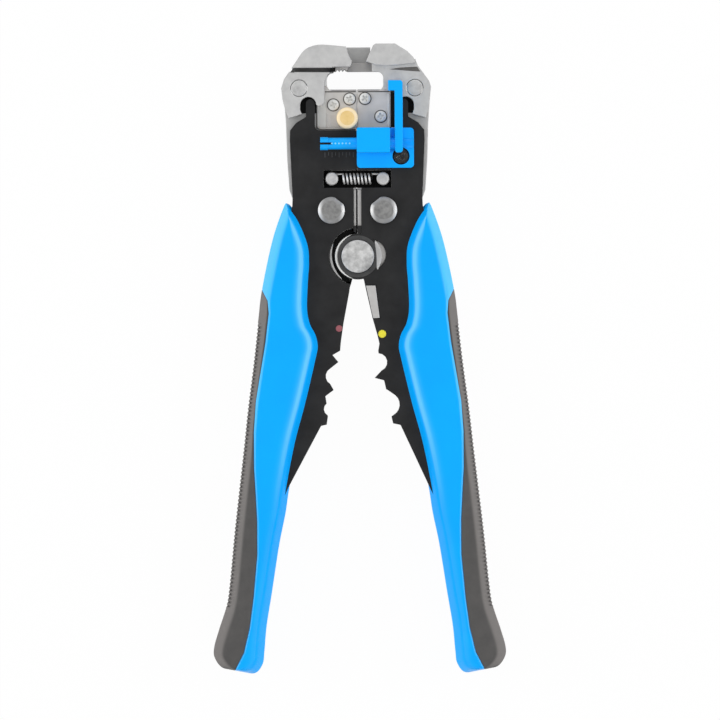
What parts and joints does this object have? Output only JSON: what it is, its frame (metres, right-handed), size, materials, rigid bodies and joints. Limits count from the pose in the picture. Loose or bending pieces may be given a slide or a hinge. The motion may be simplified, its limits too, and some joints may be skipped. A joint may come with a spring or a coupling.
{
  "type": "automatic wire stripper",
  "caption": "Self-adjusting plier that grips an insulated wire and pulls its insulation off, with crimping dies, a cutter and a sliding length stop.",
  "frame": {"origin": "middle of the bounding box in X and Y, on the plane of the table that the tool lies on", "axes": "+Y along the tool from the handles to the head, +X to the right as seen from the front, +Z out of the front face"},
  "size_m": [0.095, 0.2044, 0.0229],
  "materials": {
    "black_steel": "black oxide steel, satin",
    "cast_silver": "cast, silver painted, semi-matt",
    "bright_steel": "bright plated",
    "spring_steel": "plain spring wire",
    "brass": "turned, bright",
    "blue_plastic": "azure, satin gloss",
    "grey_rubber": "grey, matt",
    "black_screw": "black plated"
  },
  "bodies": {
    "right_lever": {"right_front_plate": "black_steel", "right_rear_plate": "black_steel", "right_die_core": "black_steel", "right_grip_shell": "blue_plastic", "right_grip_pad": "grey_rubber", "right_stop_rivet": "bright_steel", "right_tang_rivet_upper": "bright_steel", "right_tang_rivet_lower": "bright_steel", "cutter_blade": "bright_steel", "stop_bracket": "blue_plastic", "stop_screw": "black_screw", "pivot_bolt": "bright_steel", "pivot_nut": "bright_steel", "pivot_bush": "bright_steel"},
    "right_head": {"right_head_body": "cast_silver", "right_front_jaw_plate": "cast_silver", "right_rear_jaw_plate": "cast_silver", "right_jaw_pin": "bright_steel", "right_return_spring": "spring_steel", "right_spring_post": "bright_steel", "jaw_plate_screw_3": "bright_steel", "jaw_plate_screw_4": "bright_steel", "lower_stripping_blade": "bright_steel"},
    "left_head": {"left_head_body": "cast_silver", "left_front_jaw_plate": "cast_silver", "left_rear_jaw_plate": "cast_silver", "left_jaw_pin": "bright_steel", "left_return_spring": "spring_steel", "left_spring_post": "bright_steel", "jaw_plate_screw_1": "bright_steel", "jaw_plate_screw_2": "bright_steel", "lower_gripping_jaw": "bright_steel", "tension_spring": "spring_steel"},
    "left_lever": {"left_front_plate": "black_steel", "left_rear_plate": "black_steel", "left_die_core": "black_steel", "left_grip_shell": "blue_plastic", "left_grip_pad": "grey_rubber", "left_stop_rivet": "bright_steel", "left_tang_rivet_upper": "bright_steel", "left_tang_rivet_lower": "bright_steel"},
    "right_jaw": {"right_upper_jaw": "cast_silver", "upper_stripping_blade": "bright_steel", "upper_blade_screw": "bright_steel"},
    "left_jaw": {"left_upper_jaw": "cast_silver", "upper_gripping_jaw": "bright_steel"},
    "slider": {"stop_slider": "blue_plastic"},
    "knob": {"adjusting_knob": "brass"}
  },
  "joints": [
    {"name": "jaw_squeeze", "type": "hinge", "parent": "right_lever", "child": "right_head", "pos_m": [0, 0.03315, 0.01], "axis": [0, 0, 1], "range_deg": [0, 2.8], "stiffness_Nm_per_rad": 0.2, "springref_deg": -5.73},
    {"name": "head_spread", "type": "hinge", "parent": "right_head", "child": "left_head", "pos_m": [0, 0.03315, 0.01], "axis": [0, 0, 1], "range_deg": [0, 16.2], "stiffness_Nm_per_rad": 0.5, "springref_deg": -11.46, "deforming": ["tension_spring"]},
    {"name": "left_lever_squeeze", "type": "hinge", "parent": "left_head", "child": "left_lever", "pos_m": [0, 0.03315, 0.01], "axis": [0, 0, 1], "range_deg": [0, 2.8]},
    {"name": "right_jaw_close", "type": "hinge", "parent": "right_head", "child": "right_jaw", "pos_m": [0.0188, 0.08785, 0.01], "axis": [0, 0, 1], "range_deg": [0, 21]},
    {"name": "left_jaw_close", "type": "hinge", "parent": "left_head", "child": "left_jaw", "pos_m": [-0.0188, 0.08785, 0.01], "axis": [0, 0, -1], "range_deg": [0, 21]},
    {"name": "stop_slide", "type": "slide", "parent": "right_lever", "child": "slider", "axis": [1, 0, 0], "range_m": [-0.0013, 0.0078]},
    {"name": "knob_turn", "type": "hinge", "parent": "left_head", "child": "knob", "pos_m": [-0.0032, 0.07805, 0.01], "axis": [0, 0, 1], "range_deg": [0, 270]}
  ],
  "couplings": [
    {"joint": "left_lever_squeeze", "follows": "jaw_squeeze", "ratio": 1},
    {"joint": "right_jaw_close", "follows": "jaw_squeeze", "ratio": 7.5},
    {"joint": "left_jaw_close", "follows": "jaw_squeeze", "ratio": 7.5}
  ]
}
